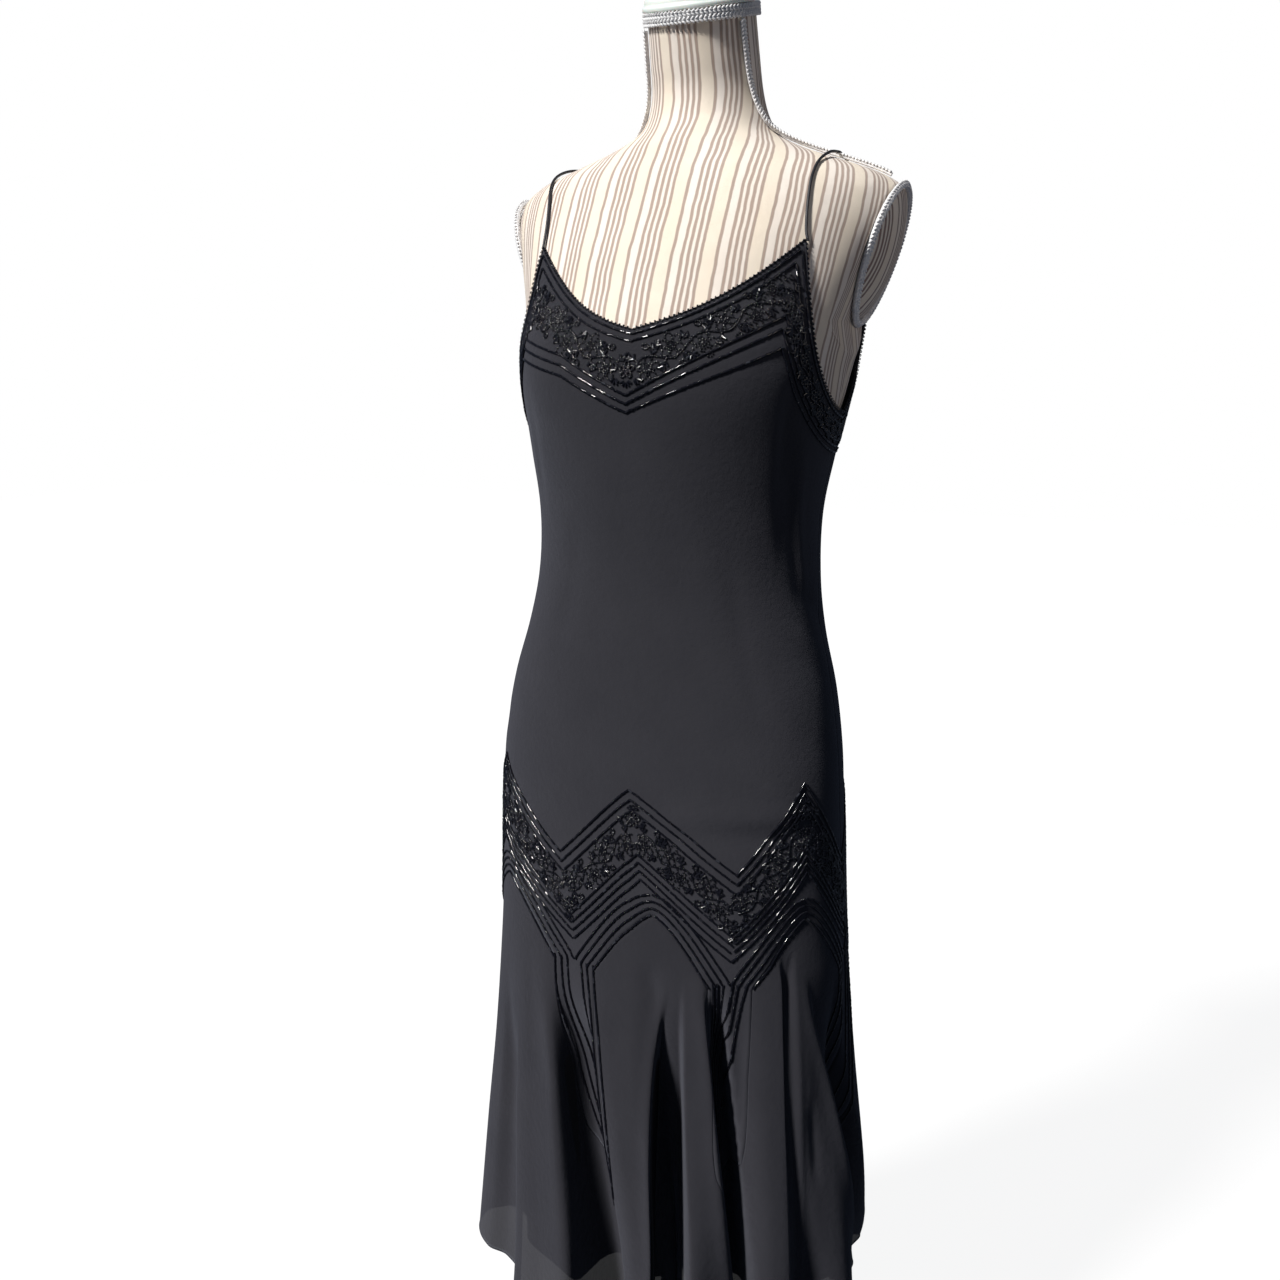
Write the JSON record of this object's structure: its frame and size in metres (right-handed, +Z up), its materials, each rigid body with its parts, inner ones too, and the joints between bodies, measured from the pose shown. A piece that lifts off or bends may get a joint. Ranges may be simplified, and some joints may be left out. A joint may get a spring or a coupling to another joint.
{
  "type": "beaded evening dress on a limbless dress form",
  "caption": "Sleeveless beaded evening dress with thin straps, a zigzag hip band and a flared skirt with arched inserts, worn by a limbless dress form on a pole stand.",
  "frame": {"origin": "centre of the flat underside of the stand's base, on the floor", "axes": "+Z up; the dress faces -Y; +X towards the wearer's left"},
  "size_m": [0.4786, 0.3877, 1.6237],
  "materials": {
    "outer_cloth": "matt black crepe georgette, sheer below the lining",
    "lining_cloth": "smooth opaque black lining",
    "strap_cloth": "narrow black rouleau cord",
    "bead_glass": "polished black glass seed and bugle beads",
    "form_fabric": "matt cream cotton with fine grey-brown woven stripes",
    "plate_fabric": "the form's striped cotton stretched over flat arm plates",
    "form_braid": "silvery white rayon braid",
    "cap_plastic": "pale satin plastic neck cap",
    "stand_metal": "satin black powder-coated steel"
  },
  "bodies": {
    "root": {"body_front": "outer_cloth", "body_back": "outer_cloth", "godet_front": "outer_cloth", "godet_left_front": "outer_cloth", "godet_left_back": "outer_cloth", "godet_back": "outer_cloth", "godet_right_back": "outer_cloth", "godet_right_front": "outer_cloth", "lining_skirt": "lining_cloth", "strap_left": "strap_cloth", "strap_right": "strap_cloth", "form_torso": "form_fabric", "form_arm_plate_left": "plate_fabric", "form_arm_plate_right": "plate_fabric", "form_arm_braid_left": "form_braid", "form_arm_braid_right": "form_braid", "form_shoulder_braid_left": "form_braid", "form_shoulder_braid_right": "form_braid", "form_neck_braid": "form_braid", "form_neck_cap": "cap_plastic", "stand_pole": "stand_metal", "stand_base": "stand_metal"}
  },
  "joints": []
}
